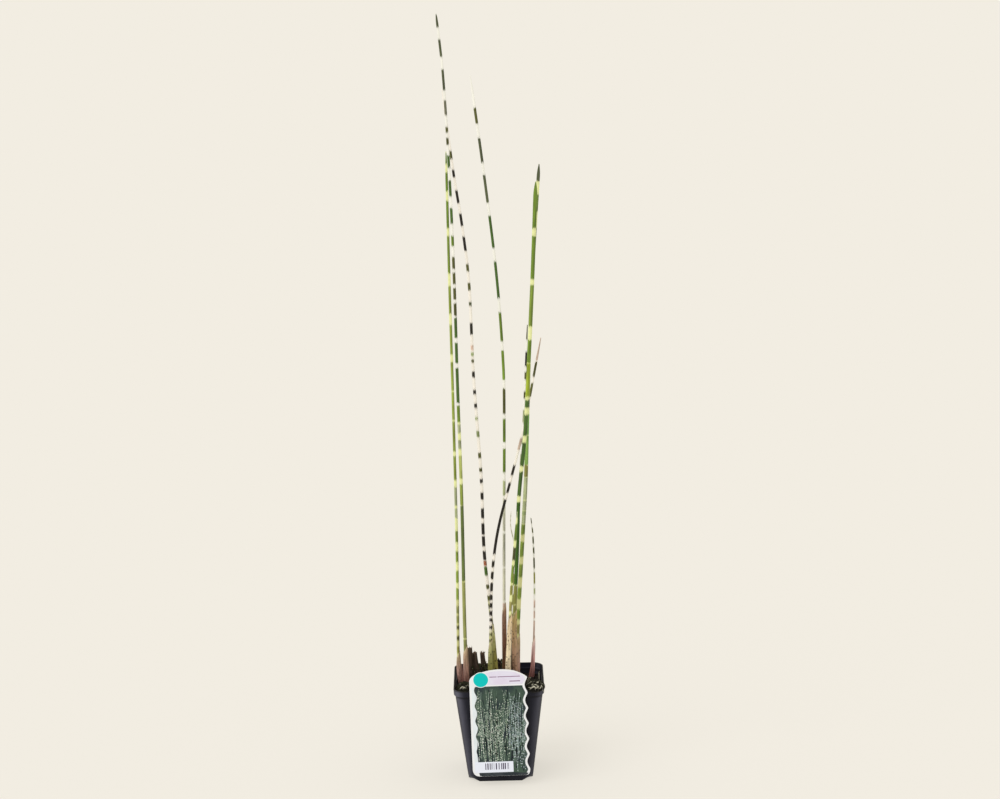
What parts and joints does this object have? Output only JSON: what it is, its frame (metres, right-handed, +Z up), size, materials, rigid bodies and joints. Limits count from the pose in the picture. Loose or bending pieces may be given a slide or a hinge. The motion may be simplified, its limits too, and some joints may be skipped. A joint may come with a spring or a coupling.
{
  "type": "potted zebra rush",
  "caption": "Tall banded rush culms standing in a tapered square nursery pot of peat, with a plain-pictured plant label hooked over the rim.",
  "frame": {"origin": "centre of the pot's foot, on the surface it stands on", "axes": "+Z up along the culms, -Y towards the front, where the label hangs, +X to the plant's right"},
  "size_m": [0.0953, 0.1039, 0.757],
  "materials": {
    "pot": "satin",
    "peat": "matte",
    "label": "satin",
    "strap": "satin",
    "culm": "satin",
    "sheath": "matte",
    "stub": "matte",
    "moss": "matte",
    "perlite": "matte"
  },
  "bodies": {
    "root": {"pot": "pot", "peat": "peat", "label_sheet": "label", "label_strap": "strap", "culm_far_left": "culm", "sheath_far_left": "sheath", "culm_tallest": "culm", "sheath_tallest": "sheath", "culm_dotted": "culm", "sheath_dotted": "sheath", "culm_arching": "culm", "sheath_arching": "sheath", "culm_centre": "culm", "sheath_centre": "sheath", "culm_right_back": "culm", "sheath_right_back": "sheath", "culm_right_front": "culm", "sheath_right_front": "sheath", "culm_right_thin": "culm", "sheath_right_thin": "sheath", "culm_short_left": "culm", "sheath_short_left": "sheath", "culm_wispy": "culm", "sheath_wispy": "sheath", "culm_far_right": "culm", "sheath_far_right": "sheath", "cut_stub_left": "stub", "cut_stub_middle": "stub", "cut_stub_right": "stub", "cut_stub_back": "stub", "moss_left": "moss", "moss_right": "moss", "perlite_grain_1": "perlite", "perlite_grain_2": "perlite", "perlite_grain_3": "perlite"}
  },
  "joints": []
}
